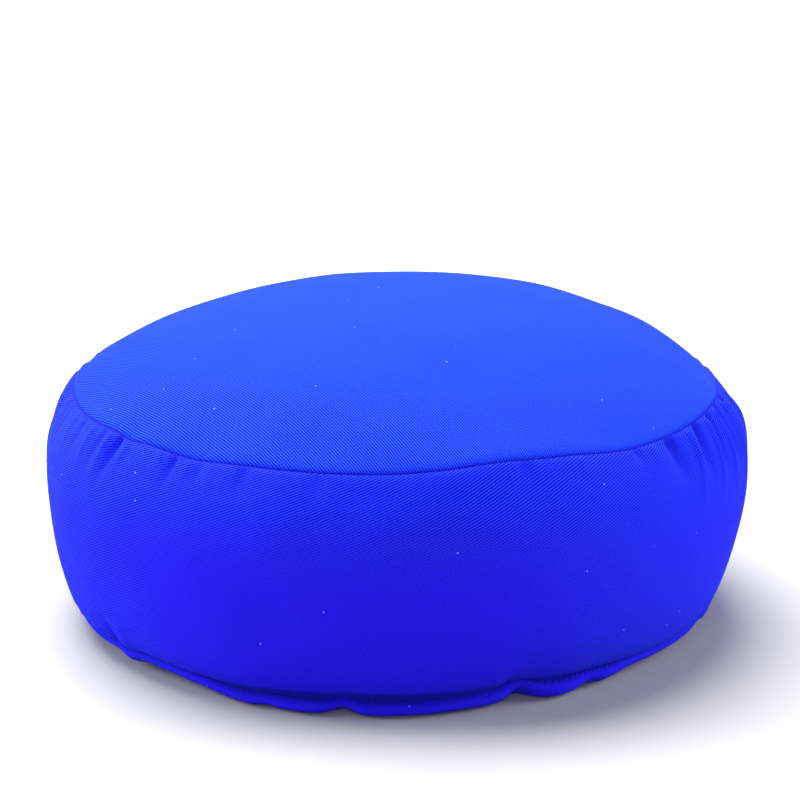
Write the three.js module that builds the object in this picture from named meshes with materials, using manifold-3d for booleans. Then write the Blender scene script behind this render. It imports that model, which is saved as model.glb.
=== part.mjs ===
// Round floor cushion: a boxed twill cover with a zip round the back of its base, an inner
// cotton bag, and the hulls that fill it.
//
// Frame: millimetres, +Z up, origin on the floor under the middle of the cushion. The front
// is at -Y and the zip is at the back, at +Y. Angles are in degrees, anticlockwise from +X.
// Every cloth piece is a thin ring or disc turned about +Z. An outline is a list of
// [radius, height] points that runs from the top of the cushion out, down and back in.

import * as THREE from "three";
import { mergeVertices } from "three/addons/utils/BufferGeometryUtils.js";
import Module from "manifold-3d";

const wasm = await Module();
wasm.setup();

// ---------------------------------------------------------------- driving dimensions

const clearance = 0.3; // between pieces that lie on each other
const past = 5; // how far a cutter reaches past what it cuts
const cover = {
  cloth: 0.8, // thickness of the cotton twill
  wideRadius: 165, // widest place of the side band
  wideHeight: 71,
  topRadius: 153, // seam of the top panel and the side band
  topHeight: 111,
  crownRise: 39, // how far the middle of the top stands over its seam
  crownPower: 2.4, // over 2, the middle is flatter and the rim rounder
  bottomRadius: 149.5, // seam of the side band and the bottom panel
  bottomHeight: 8.5,
  restRadius: 136, // flat part that lies on the floor
  segments: 60,
};
const seam = {
  allowance: 9, // width of the turned-in edges
  thread: 0.5,
};
const innerBag = {
  cloth: 0.6,
  sideRoom: 1.2, // from the cover's inside to the bag, at the widest place
  topSeamIn: 13, // how far the bag's seams stay inside the cover's
  topSeamBelow: 9,
  bottomSeamIn: 13.5,
  bottomSeamAbove: 6,
  restIn: 8,
  segments: 32,
};
const zip = {
  length: 290, // of the chain, along the seam
  slotRoom: 0.6, // from the slider to each cloth edge
  underEdge: 0.4, // extra drop of the tapes where they pass the cloth edges
  bend: 1, // from the cloth edge to where a tape meets the cloth
  tapeWidth: 13, // of one tape, from the middle of the chain
  tape: 0.6,
  coilWidth: 2.4,
  coilHeight: 2,
  middleGap: 1.8, // between the two coils, where the slider's post runs
  stopLength: 2.6,
  endRoom: 4, // from the stops to the end of the slot
  stitchIn: 3, // from the cloth edge to the row of stitches
  middleAngle: 90,
  segments: 120,
};
const slider = {
  length: 12,
  wall: 0.95, // of the two rails beside the coils
  plate: 1,
  running: 0.35, // clearance round the chain
  postWidth: 1.1,
  postLength: 3,
  crownLength: 6.4,
  crownWidth: 1.8,
  crownWall: 1,
};
const pull = {
  length: 24,
  width: 6.4,
  thickness: 1.1,
  armWidth: 1.4,
  room: 0.7, // round the slider's crown, as the pull swings over it
  holeRadius: 1.6,
};
const joinAngle = 165; // where the two ends of the side band meet
const label = { angle: 15, width: 30, height: 45, thickness: 0.3, aboveSeam: 15 };

// ---------------------------------------------------------------- materials

const paint = (color, roughness, metalness = 0) =>
  new THREE.MeshStandardMaterial({ color, roughness, metalness });
const twill = paint(0x2a3cf0, 0.9);
const thread = paint(0x1b22c8, 0.7);
const tapeCloth = paint(0x1c24c4, 0.85);
const nylon = paint(0x1a20b8, 0.45);
const nickel = paint(0xb9bcc2, 0.3, 1);
const calico = paint(0xe9e0cc, 0.9);
const satin = paint(0xf4f4f2, 0.5);
const hulls = paint(0x3b2a20, 0.8);

// ---------------------------------------------------------------- outlines

// Points along f(0) to f(1).
function sample(count, f) {
  return Array.from({ length: count + 1 }, (_, i) => f(i / count));
}

// A stuffed round form as three outlines that meet at its two seams.
function stuffedForm(f) {
  const top = sample(6, (t) => [
    f.topRadius * t,
    f.topHeight + f.crownRise * (1 - t ** f.crownPower),
  ]);
  const bulge = (endRadius, endHeight) => (height) => {
    const share = Math.abs((height - f.wideHeight) / (endHeight - f.wideHeight));
    return [f.wideRadius - (f.wideRadius - endRadius) * share ** 2.2, height];
  };
  const upper = bulge(f.topRadius, f.topHeight);
  const lower = bulge(f.bottomRadius, f.bottomHeight);
  const band = [
    ...sample(3, (t) => upper(f.topHeight + (f.wideHeight - f.topHeight) * t)),
    ...sample(5, (t) => lower(f.wideHeight + (f.bottomHeight - f.wideHeight) * t)).slice(1),
  ];
  const rise = f.bottomHeight - f.restHeight;
  const lip = sample(3, (t) => {
    const a = (t * Math.PI) / 2;
    return [
      f.restRadius + (f.bottomRadius - f.restRadius) * Math.cos(a),
      f.restHeight + rise * (1 - Math.sin(a)),
    ];
  });
  return { top, band, bottom: [...lip, [0, f.restHeight]] };
}

// Unit vector from a to b, and the same turned towards the inside of the outline.
const heading = (a, b) => {
  const length = Math.hypot(b[0] - a[0], b[1] - a[1]);
  return [(b[0] - a[0]) / length, (b[1] - a[1]) / length];
};
const inwards = ([r, z]) => [z, -r];
const along = (point, direction, distance) => [
  point[0] + direction[0] * distance,
  point[1] + direction[1] * distance,
];
const between = (u, v) => heading([0, 0], [u[0] + v[0], u[1] + v[1]]);

const onAxis = ([r]) => r < 1e-6;

// The outline moved in by a distance. A point on the axis stays on it.
function offset(path, distance) {
  return path.map((point, i) => {
    const before = inwards(heading(path[Math.max(i - 1, 0)], path[Math.max(i, 1)]));
    const next = Math.min(i + 1, path.length - 1);
    const after = inwards(heading(path[next - 1], path[next]));
    const normal = between(before, after);
    const stretch = normal[0] * before[0] + normal[1] * before[1];
    const moved = along(point, normal, distance / stretch);
    return onAxis(point) ? [0, moved[1]] : moved;
  });
}

// The stretch of an outline from one distance along it to another.
function stretchOf(path, from, to) {
  const line = new THREE.CurvePath();
  for (let i = 1; i < path.length; i++) {
    line.add(new THREE.LineCurve(new THREE.Vector2(...path[i - 1]), new THREE.Vector2(...path[i])));
  }
  const ends = line.getCurveLengths();
  const total = ends[ends.length - 1];
  const at = (distance) => line.getPoint(Math.min(distance / total, 1)).toArray();
  const inside = path.slice(1).filter((_, i) => ends[i] > from + 0.01 && ends[i] < to - 0.01);
  return [at(from), ...inside, at(to)];
}
const lengthOf = (path) =>
  path.slice(1).reduce((sum, p, i) => sum + Math.hypot(p[0] - path[i][0], p[1] - path[i][1]), 0);

// The closed outline of a layer that lies between two depths under a path.
function layer(path, outer, inner) {
  const closed = [...offset(path, outer), ...offset(path, inner).reverse()];
  return onAxis(path[0]) ? closed : [...closed, closed[0]];
}

// ---------------------------------------------------------------- solids

function solidOf(geometry) {
  const bare = geometry.clone();
  bare.deleteAttribute("normal");
  bare.deleteAttribute("uv");
  const { index, attributes } = mergeVertices(bare, 1e-4);
  return new wasm.Manifold(
    new wasm.Mesh({
      numProp: 3,
      vertProperties: attributes.position.array,
      triVerts: new Uint32Array(index.array),
    }),
  );
}

function meshOf(name, solid, material) {
  const { vertProperties, triVerts } = solid.getMesh();
  const geometry = new THREE.BufferGeometry();
  geometry.setAttribute("position", new THREE.BufferAttribute(vertProperties, 3));
  geometry.setIndex(new THREE.BufferAttribute(triVerts, 1));
  geometry.computeVertexNormals();
  const mesh = new THREE.Mesh(geometry, material);
  mesh.name = name;
  return mesh;
}

// An outline turned about +Z. The outline runs clockwise with the radius to the right.
function turned(outline, segments) {
  const points = outline.map(([r, z]) => new THREE.Vector2(r, z)).reverse();
  return solidOf(new THREE.LatheGeometry(points, segments).rotateX(Math.PI / 2));
}

// The part of a turned outline between two angles.
function turnedPart(outline, segments, from, to) {
  const radians = THREE.MathUtils.degToRad;
  const reach = 2 * cover.wideRadius;
  const fan = new THREE.Shape();
  fan.moveTo(0, 0);
  sample(12, (t) => radians(from + (to - from) * t)).forEach((a) =>
    fan.lineTo(reach * Math.cos(a), reach * Math.sin(a)),
  );
  const height = 4 * (cover.topHeight + cover.crownRise);
  const wedge = new THREE.ExtrudeGeometry(fan, { depth: height, bevelEnabled: false });
  return turned(outline, segments).intersect(solidOf(wedge.translate(0, 0, -height / 2)));
}

// A box between two corners.
function block(low, high) {
  const size = high.map((v, i) => v - low[i]);
  const middle = high.map((v, i) => (v + low[i]) / 2);
  return solidOf(new THREE.BoxGeometry(...size).translate(...middle));
}

// ---------------------------------------------------------------- cover and its seams

const coverForm = stuffedForm({ ...cover, restHeight: 0 });
const threadGap = seam.thread + 2 * clearance; // between the two edges at a seam

// The place of a seam, its way in, and the way across it from the piece above it.
function seamFrame(above, below) {
  const point = below[0];
  const before = inwards(heading(above[above.length - 2], point));
  const after = inwards(heading(point, below[1]));
  const inward = between(before, after);
  return { point, inward, across: [-inward[1], inward[0]] };
}

// A rectangle at a seam, from one distance across it to another and from one depth to another.
function seamRectangle({ point, inward, across }, [left, right], [shallow, deep]) {
  const corner = (side, depth) => along(along(point, across, side), inward, depth);
  const [a, b, c, d] = [
    corner(left, shallow),
    corner(right, shallow),
    corner(right, deep),
    corner(left, deep),
  ];
  return [a, b, c, d, a];
}

const topSeam = seamFrame(coverForm.top, coverForm.band);
const bottomSeam = seamFrame(coverForm.band, coverForm.bottom);

// The turned-in edge of a cloth piece: side is 1 below the seam and -1 above it.
function turnedInEdge(frame, side) {
  const span = [threadGap / 2, threadGap / 2 + cover.cloth].map((v) => v * side);
  return turned(
    seamRectangle(frame, span.sort((a, b) => a - b), [cover.cloth / 4, seam.allowance]),
    cover.segments,
  );
}
const edgeBack = threadGap / 2 + cover.cloth / 2; // from a seam to the end of the cloth beside it

function clothPiece(path, fromSeam, toSeam) {
  const from = fromSeam ? edgeBack : 0;
  const to = lengthOf(path) - (toSeam ? edgeBack : 0);
  return turned(layer(stretchOf(path, from, to), 0, cover.cloth), cover.segments);
}

// The thread of a seam, in the gap between the two edges.
function seamThreadOutline(frame, depth) {
  const half = seam.thread / 2;
  return seamRectangle(frame, [-half, half], [depth, depth + seam.thread]);
}

// ---------------------------------------------------------------- zip, across the bottom seam

// The cloth from one distance from the bottom seam to another, above it and below it.
function bandFromSeam(near, far) {
  const total = lengthOf(coverForm.band);
  return stretchOf(coverForm.band, total - far, total - near);
}
const bottomFromSeam = (near, far) => stretchOf(coverForm.bottom, near, far);

const railIn = zip.middleGap / 2 + zip.coilWidth + slider.running;
const sliderHalfWidth = railIn + slider.wall;
const slotHalf = sliderHalfWidth + zip.slotRoom; // to each cloth edge

// The zip's frame in the outline's plane: its middle, the way out and the way up across it.
const edgeOfBand = bandFromSeam(slotHalf, 2 * slotHalf).at(-1);
const edgeOfBottom = bottomFromSeam(slotHalf, 2 * slotHalf)[0];
const zipUp = heading(edgeOfBottom, edgeOfBand);
const zipOut = inwards(zipUp);
const zipMiddle = [
  (edgeOfBand[0] + edgeOfBottom[0]) / 2,
  (edgeOfBand[1] + edgeOfBottom[1]) / 2,
];
const zipPoint = (up, out) => along(along(zipMiddle, zipUp, up), zipOut, out);
const zipBox = ([low, high], [under, over]) => {
  const corners = [
    zipPoint(high, under),
    zipPoint(high, over),
    zipPoint(low, over),
    zipPoint(low, under),
  ];
  return [...corners, corners[0]];
};

const tapeTop = -(cover.cloth + clearance + zip.underEdge);
const tapeUnder = tapeTop - zip.tape;
const coilUnder = tapeTop + clearance;
const coilOver = coilUnder + zip.coilHeight;
const toDegrees = (distance) => THREE.MathUtils.radToDeg(distance / zipMiddle[0]);
const chainFrom = zip.middleAngle - toDegrees(zip.length / 2);
const chainTo = zip.middleAngle + toDegrees(zip.length / 2);
const stopAngle = toDegrees(zip.stopLength);
const gapAngle = toDegrees(clearance);
const slotFrom = chainFrom - gapAngle - stopAngle - toDegrees(zip.endRoom);
const slotTo = chainTo + gapAngle + stopAngle + toDegrees(zip.endRoom);

// Everything that the zip takes out of the cover: the slot, and the turned-in edges behind it.
function zipSlot() {
  const outline = zipBox([-slotHalf, slotHalf], [-(seam.allowance + past), past]);
  return turnedPart(outline, zip.segments, slotFrom, slotTo);
}

// A tape goes flat under the chain, then follows the inside of the cloth.
function tape(name, side) {
  const fromSeam = side > 0 ? bandFromSeam : bottomFromSeam;
  const held = offset(fromSeam(slotHalf + zip.bend, zip.tapeWidth), cover.cloth + clearance);
  const first = zipPoint((side * zip.middleGap) / 2, tapeTop);
  const bend = zipPoint(side * slotHalf, tapeTop);
  const run = side > 0 ? [...held, bend, first] : [first, bend, ...held];
  const solid = turnedPart(
    layer(run, 0, zip.tape),
    zip.segments,
    slotFrom + gapAngle,
    slotTo - gapAngle,
  );
  return meshOf(name, solid, tapeCloth);
}

const coilSpan = (side) => {
  const near = zip.middleGap / 2;
  return [near, near + zip.coilWidth].map((v) => v * side).sort((a, b) => a - b);
};

function coil(name, side) {
  const outline = zipBox(coilSpan(side), [coilUnder, coilOver]);
  return meshOf(name, turnedPart(outline, zip.segments, chainFrom, chainTo), nylon);
}

// A stop that lies across one or both coils, past the end of the chain.
function zipStop(name, span, from) {
  const outline = zipBox(span, [coilUnder, coilOver]);
  return meshOf(name, turnedPart(outline, zip.segments, from, from + stopAngle), nickel);
}

// A row of stitches on the cloth beside the zip.
function zipStitching(name, fromSeam) {
  const near = slotHalf + zip.stitchIn;
  const outline = layer(
    fromSeam(near, near + seam.thread),
    -(clearance + seam.thread),
    -clearance,
  );
  return meshOf(name, turnedPart(outline, cover.segments, slotFrom, slotTo), thread);
}

// ---------------------------------------------------------------- slider and pull

// Here x is the way out of the cloth, y runs along the chain and z is across it.
const topPlateUnder = coilOver + slider.running;
const topPlateOver = topPlateUnder + slider.plate;
const bottomPlateOver = tapeUnder - slider.running;
const windowHeight = pull.thickness + 2 * clearance;
const pivotOut = topPlateOver + windowHeight / 2;
const crownCorner = Math.hypot(slider.crownLength / 2, windowHeight / 2 + slider.crownWall);
const pullReach = crownCorner + pull.room; // from the pivot to the solid part of the tab

function sliderSolid() {
  const halfLength = slider.length / 2;
  const halfWidth = sliderHalfWidth;
  const plate = (under, over) =>
    block([under, -halfLength, -halfWidth], [over, halfLength, halfWidth]);
  const rail = (side) => {
    const [low, high] = [railIn * side, halfWidth * side].sort((a, b) => a - b);
    return block([tapeTop + slider.running, -halfLength, low], [topPlateOver, halfLength, high]);
  };
  const post = block(
    [bottomPlateOver - slider.plate, halfLength - slider.postLength, -slider.postWidth / 2],
    [topPlateOver, halfLength, slider.postWidth / 2],
  );
  const crownTop = topPlateOver + windowHeight + slider.crownWall;
  const halfCrown = slider.crownLength / 2;
  const crown = block(
    [topPlateUnder, -halfCrown, -slider.crownWidth / 2],
    [crownTop, halfCrown, slider.crownWidth / 2],
  );
  const halfWindow = halfCrown - slider.crownWall;
  const window = block(
    [topPlateOver, -halfWindow, -slider.crownWidth],
    [topPlateOver + windowHeight, halfWindow, slider.crownWidth],
  );
  return plate(topPlateUnder, topPlateOver)
    .add(plate(bottomPlateOver - slider.plate, bottomPlateOver))
    .add(rail(1))
    .add(rail(-1))
    .add(post)
    .add(crown.subtract(window));
}

// The pull lies along -y from its pivot at the origin, flat over the chain.
function pullSolid() {
  const half = pull.width / 2;
  const round = pull.length - half;
  const tab = new THREE.Shape();
  tab.moveTo(-half, pullReach);
  tab.lineTo(-half, round);
  tab.absarc(0, round, half, Math.PI, 0, true);
  tab.lineTo(half, pullReach);
  tab.closePath();
  const hole = new THREE.Path();
  hole.absarc(0, round, pull.holeRadius, 0, 2 * Math.PI, false);
  tab.holes.push(hole);
  const plate = new THREE.ExtrudeGeometry(tab, {
    depth: pull.thickness,
    bevelEnabled: false,
    curveSegments: 10,
  });
  // The shape's x goes across the chain and its y away along -y.
  plate.translate(0, 0, -pull.thickness / 2);
  plate.applyMatrix4(
    new THREE.Matrix4().makeBasis(
      new THREE.Vector3(0, 0, 1),
      new THREE.Vector3(0, -1, 0),
      new THREE.Vector3(1, 0, 0),
    ),
  );
  const barRadius = pull.thickness / 2;
  const bar = new THREE.CylinderGeometry(barRadius, barRadius, pull.width, 16);
  const arm = (side) => {
    const [low, high] = [half * side, (half - pull.armWidth) * side].sort((a, b) => a - b);
    return block([-barRadius, -(pullReach + 1), low], [barRadius, 0, high]);
  };
  return solidOf(plate)
    .add(solidOf(bar.rotateX(Math.PI / 2)))
    .add(arm(1))
    .add(arm(-1));
}

// The slider stands closed, against the top stops. Its group turns about +Z as it runs.
function sliderGroup() {
  const run = new THREE.Group();
  const closedAngle = chainTo - toDegrees(slider.length / 2);
  run.rotation.z = THREE.MathUtils.degToRad(closedAngle);
  const seat = new THREE.Group();
  seat.position.set(zipMiddle[0], 0, zipMiddle[1]);
  seat.rotation.y = Math.atan2(-zipOut[1], zipOut[0]);
  const tab = meshOf("zip_pull", pullSolid(), nickel);
  tab.position.x = pivotOut;
  seat.add(meshOf("zip_slider", sliderSolid(), nickel), tab);
  run.add(seat);
  return run;
}

// ---------------------------------------------------------------- inner bag and filling

const bagForm = stuffedForm({
  topRadius: cover.topRadius - innerBag.topSeamIn,
  topHeight: cover.topHeight - innerBag.topSeamBelow,
  crownRise: cover.crownRise - cover.cloth - clearance + innerBag.topSeamBelow,
  crownPower: cover.crownPower,
  wideRadius: cover.wideRadius - cover.cloth - innerBag.sideRoom,
  wideHeight: cover.wideHeight,
  bottomRadius: cover.bottomRadius - innerBag.bottomSeamIn,
  bottomHeight: cover.bottomHeight + innerBag.bottomSeamAbove,
  restRadius: cover.restRadius - innerBag.restIn,
  restHeight: cover.cloth + clearance,
});

function bagPanel(name, path, fromSeam, toSeam) {
  const from = fromSeam ? threadGap / 2 : 0;
  const to = lengthOf(path) - (toSeam ? threadGap / 2 : 0);
  const outline = layer(stretchOf(path, from, to), 0, innerBag.cloth);
  return meshOf(name, turned(outline, innerBag.segments), calico);
}

function fillingSolid() {
  const whole = [...bagForm.top, ...bagForm.band.slice(1), ...bagForm.bottom.slice(1)];
  return turned(offset(whole, innerBag.cloth + clearance), innerBag.segments);
}

// ---------------------------------------------------------------- the cushion

const slot = zipSlot();
const joinHalf = THREE.MathUtils.radToDeg(threadGap / 2 / cover.bottomRadius);
const joinInner = cover.bottomRadius - seam.allowance - past;
const joinOuter = cover.wideRadius + past;
const joinTop = cover.topHeight + past;
const joinCut = turnedPart(
  [
    [joinInner, joinTop],
    [joinOuter, joinTop],
    [joinOuter, -past],
    [joinInner, -past],
    [joinInner, joinTop],
  ],
  cover.segments,
  joinAngle - joinHalf,
  joinAngle + joinHalf,
);

const topPanel = clothPiece(coverForm.top, false, true).add(turnedInEdge(topSeam, -1));
const sideBand = clothPiece(coverForm.band, true, true)
  .add(turnedInEdge(topSeam, 1))
  .add(turnedInEdge(bottomSeam, -1))
  .subtract(slot)
  .subtract(joinCut);
const bottomPanel = clothPiece(coverForm.bottom, true, false)
  .add(turnedInEdge(bottomSeam, 1))
  .subtract(slot);

const cushion = new THREE.Group();
cushion.add(
  meshOf("cover_top_panel", topPanel, twill),
  meshOf("cover_side_band", sideBand, twill),
  meshOf("cover_bottom_panel", bottomPanel, twill),
  meshOf("top_seam_thread", turned(seamThreadOutline(topSeam, 1), cover.segments), thread),
  meshOf(
    "bottom_seam_thread",
    turnedPart(seamThreadOutline(bottomSeam, 1), cover.segments, slotTo, slotFrom + 360),
    thread,
  ),
);

// The thread that closes the side band's join runs down inside it, under the cloth.
const joinThreadAngle = THREE.MathUtils.radToDeg(seam.thread / 2 / cover.wideRadius);
const joinRun = stretchOf(coverForm.band, seam.allowance, lengthOf(coverForm.band) - seam.allowance);
cushion.add(
  meshOf(
    "band_join_thread",
    turnedPart(
      layer(joinRun, cover.cloth / 4, cover.cloth / 4 + seam.thread),
      cover.segments,
      joinAngle - joinThreadAngle,
      joinAngle + joinThreadAngle,
    ),
    thread,
  ),
);

cushion.add(
  tape("zip_tape_upper", 1),
  tape("zip_tape_lower", -1),
  coil("zip_coil_upper", 1),
  coil("zip_coil_lower", -1),
  zipStop("zip_top_stop_upper", coilSpan(1), chainTo + gapAngle),
  zipStop("zip_top_stop_lower", coilSpan(-1), chainTo + gapAngle),
  zipStop("zip_bottom_stop", [coilSpan(-1)[0], coilSpan(1)[1]], chainFrom - gapAngle - stopAngle),
  zipStitching("zip_stitching_upper", bandFromSeam),
  zipStitching("zip_stitching_lower", bottomFromSeam),
  sliderGroup(),
);

// The care label is sewn in beside the zip and lies between the band and the inner bag.
const labelPath = bandFromSeam(label.aboveSeam, label.aboveSeam + label.height);
const labelHalf = THREE.MathUtils.radToDeg(label.width / 2 / cover.wideRadius);
const labelDepth = cover.cloth + clearance;
cushion.add(
  meshOf(
    "care_label",
    turnedPart(
      layer(labelPath, labelDepth, labelDepth + label.thickness),
      cover.segments,
      label.angle - labelHalf,
      label.angle + labelHalf,
    ),
    satin,
  ),
);

const bagTopSeam = seamFrame(bagForm.top, bagForm.band);
const bagBottomSeam = seamFrame(bagForm.band, bagForm.bottom);
const bagThread = (name, frame) =>
  meshOf(name, turned(seamThreadOutline(frame, 0), innerBag.segments), calico);
cushion.add(
  bagPanel("inner_bag_top", bagForm.top, false, true),
  bagPanel("inner_bag_band", bagForm.band, true, true),
  bagPanel("inner_bag_bottom", bagForm.bottom, true, false),
  bagThread("inner_bag_top_seam_thread", bagTopSeam),
  bagThread("inner_bag_bottom_seam_thread", bagBottomSeam),
  meshOf("hull_filling", fillingSolid(), hulls),
);

export default cushion;
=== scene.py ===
import math

import bmesh
import bpy
import numpy as np
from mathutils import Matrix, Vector
from mathutils.kdtree import KDTree


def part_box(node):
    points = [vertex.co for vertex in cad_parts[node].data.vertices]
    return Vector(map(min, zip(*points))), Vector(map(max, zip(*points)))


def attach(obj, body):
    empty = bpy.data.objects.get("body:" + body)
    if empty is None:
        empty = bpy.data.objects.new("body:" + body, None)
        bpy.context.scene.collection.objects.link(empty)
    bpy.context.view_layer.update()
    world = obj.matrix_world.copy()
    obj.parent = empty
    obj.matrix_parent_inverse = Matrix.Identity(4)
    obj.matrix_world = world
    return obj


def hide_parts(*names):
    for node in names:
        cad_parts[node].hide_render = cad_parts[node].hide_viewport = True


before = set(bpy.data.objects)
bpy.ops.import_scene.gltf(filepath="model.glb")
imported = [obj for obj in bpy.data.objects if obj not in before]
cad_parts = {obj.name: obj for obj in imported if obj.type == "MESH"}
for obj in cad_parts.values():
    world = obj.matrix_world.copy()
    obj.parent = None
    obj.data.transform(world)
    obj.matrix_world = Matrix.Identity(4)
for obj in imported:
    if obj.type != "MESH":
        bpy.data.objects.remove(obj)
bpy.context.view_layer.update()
scene = bpy.context.scene
mm = 0.001
turn = 2 * math.pi
up = np.array([0.0, 0.0, 1.0])
random = np.random.default_rng(7)


# Small helpers for colours, nodes and meshes.

def linear(hexColour):
    values = [int(hexColour[i : i + 2], 16) / 255 for i in (1, 3, 5)]
    return [v / 12.92 if v <= 0.04045 else ((v + 0.055) / 1.055) ** 2.4 for v in values] + [1.0]


def addNode(tree, kind, inputs=None, **settings):
    node = tree.nodes.new(kind)
    for key, value in settings.items():
        setattr(node, key, value)
    for key, value in (inputs or {}).items():
        if isinstance(value, bpy.types.NodeSocket):
            tree.links.new(value, node.inputs[key])
        else:
            node.inputs[key].default_value = value
    return node


# The result of one sum on up to three values.
def sumOf(tree, operation, *values):
    return addNode(tree, "ShaderNodeMath", dict(enumerate(values)), operation=operation).outputs[0]


def mixOf(tree, share, first, second):
    node = addNode(tree, "ShaderNodeMix", {0: share, 6: first, 7: second}, data_type="RGBA")
    return node.outputs[2]


def newMaterial(name, **values):
    material = bpy.data.materials.new(name)
    material.use_nodes = True
    tree = material.node_tree
    shader = tree.nodes["Principled BSDF"]
    for key, value in values.items():
        shader.inputs[key.replace("_", " ")].default_value = value
    return material, tree, shader


def makeObject(name, mesh, material, smooth=True):
    if isinstance(mesh, bmesh.types.BMesh):
        data = bpy.data.meshes.new(name)
        mesh.to_mesh(data)
        mesh.free()
        mesh = data
    piece = bpy.data.objects.new(name, mesh)
    scene.collection.objects.link(piece)
    mesh.materials.clear()
    mesh.materials.append(material)
    mesh.polygons.foreach_set("use_smooth", [smooth] * len(mesh.polygons))
    return piece


def readPoints(data):
    points = np.empty(len(data.vertices) * 3)
    data.vertices.foreach_get("co", points)
    return points.reshape(-1, 3)


def writePoints(data, points):
    data.vertices.foreach_set("co", points.ravel())
    data.update()


def readValues(data, name):
    values = np.empty(len(data.vertices))
    data.attributes[name].data.foreach_get("value", values)
    return values


def writeValues(data, name, values):
    data.attributes.new(name, "FLOAT", "POINT").data.foreach_set("value", values)


def unit(vectors):
    length = np.linalg.norm(vectors, axis=-1, keepdims=True)
    return np.where(length > 1e-9, vectors / np.maximum(length, 1e-9), up)


# The camera stands in front, a little above the cushion.

camera = {
    "distance": 1.485,  # from the base's centre
    "elevation": 19.7,
    "aimBelow": 3.66,
    "turn": -0.06,
    "lens": 138.9,
}
elevation = math.radians(camera["elevation"])
cameraData = bpy.data.cameras.new("camera")
cameraData.lens = camera["lens"]
cameraData.sensor_width = 36
cameraData.clip_start = 0.05
cameraObject = bpy.data.objects.new("camera", cameraData)
cameraObject.location = (
    0,
    -camera["distance"] * math.cos(elevation),
    camera["distance"] * math.sin(elevation),
)
pitch = camera["elevation"] - camera["aimBelow"]
cameraObject.rotation_euler = (math.radians(90 - pitch), 0, math.radians(camera["turn"]))
scene.collection.objects.link(cameraObject)
scene.camera = cameraObject

studio = {
    "floorColour": "#a3a3a3",
    "floorSize": 16,
    "world": 0.22,
    "lights": [  # name, place, size, watts, colour
        ("overhead", (-1.1, 2.0, 4.5), 5.1, 910, "#ffffff"),
        ("leftStrip", (-4.5, 0.75, 1.8), 2.7, 234, "#ffffff"),
        ("rightStrip", (4.5, 0.75, 1.8), 2.7, 225, "#ffffff"),
        ("frontFill", (0.25, -6.5, 2.75), 5.0, 190, "#fff2ff"),
    ],
}

# matt paper, so that the floor shows no gloss
floorMaterial, tree, shader = newMaterial("floor paper", Roughness=0.9)
shader.inputs["Base Color"].default_value = linear(studio["floorColour"])
floorMesh = bmesh.new()
bmesh.ops.create_grid(floorMesh, x_segments=1, y_segments=1, size=studio["floorSize"])
floor = makeObject("floor", floorMesh, floorMaterial, smooth=False)

world = bpy.data.worlds.new("studio")
world.use_nodes = True
world.node_tree.nodes["Background"].inputs["Strength"].default_value = studio["world"]
world.node_tree.nodes["Background"].inputs["Color"].default_value = linear("#ffffff")
scene.world = world
for name, place, size, watts, colour in studio["lights"]:
    lamp = bpy.data.lights.new(name, "AREA")
    lamp.shape = "DISK"
    lamp.size = size
    lamp.energy = watts
    lamp.color = linear(colour)[:3]
    lampObject = bpy.data.objects.new(name, lamp)
    lampObject.location = place
    aim = Vector((0, 0, 0.06)) - Vector(place)
    lampObject.rotation_euler = aim.to_track_quat("-Z", "Y").to_euler()
    lampObject.visible_camera = False
    scene.collection.objects.link(lampObject)
scene.view_settings.view_transform = "Standard"
print("stage: camera, floor and lights")


# Colours are sRGB, lengths are in metres.

twill = {
    "valley": "#090bd2",
    "rib": "#1f4afc",
    "shadedValley": "#1007bc",  # painted shade: a deeper, darker blue where the cloth turns from the light
    "shadedRib": "#2f1df6",
    "seam": "#110f98",  # painted shade, down in a seam or a fold
    "lint": "#a9b6ff",
    "pitch": 1.15 * mm,  # from rib to rib
    "float": 1.0 * mm,  # one yarn's float along the rib
    "depth": 0.3 * mm,
    "wander": 3.0,  # how far the ribs stray, in radians of their pattern
    "wanderPerMetre": 90.0,
    "ribSwing": 0.8,
    "ribMiddle": 0.48,
    "yarnLean": 0.6,  # how the floats step from rib to rib
    "yarnSwing": 0.14,
    "yarnMiddle": 0.86,
    "napPerMetre": 1300.0,
    "nap": 0.7,
    "middle": 0.45,  # the ribs' mean height
    "lintPerMetre": 110.0,
    "lintSize": 0.05,
    "lintShare": 0.3,
    "lintStrength": 0.4,
    "relief": 0.9,
    "gloss": 0.04,
    "sheen": 0.09,
    "sheenRoughness": 0.5,
    "sheenTint": "#4a80ff",
}
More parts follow.
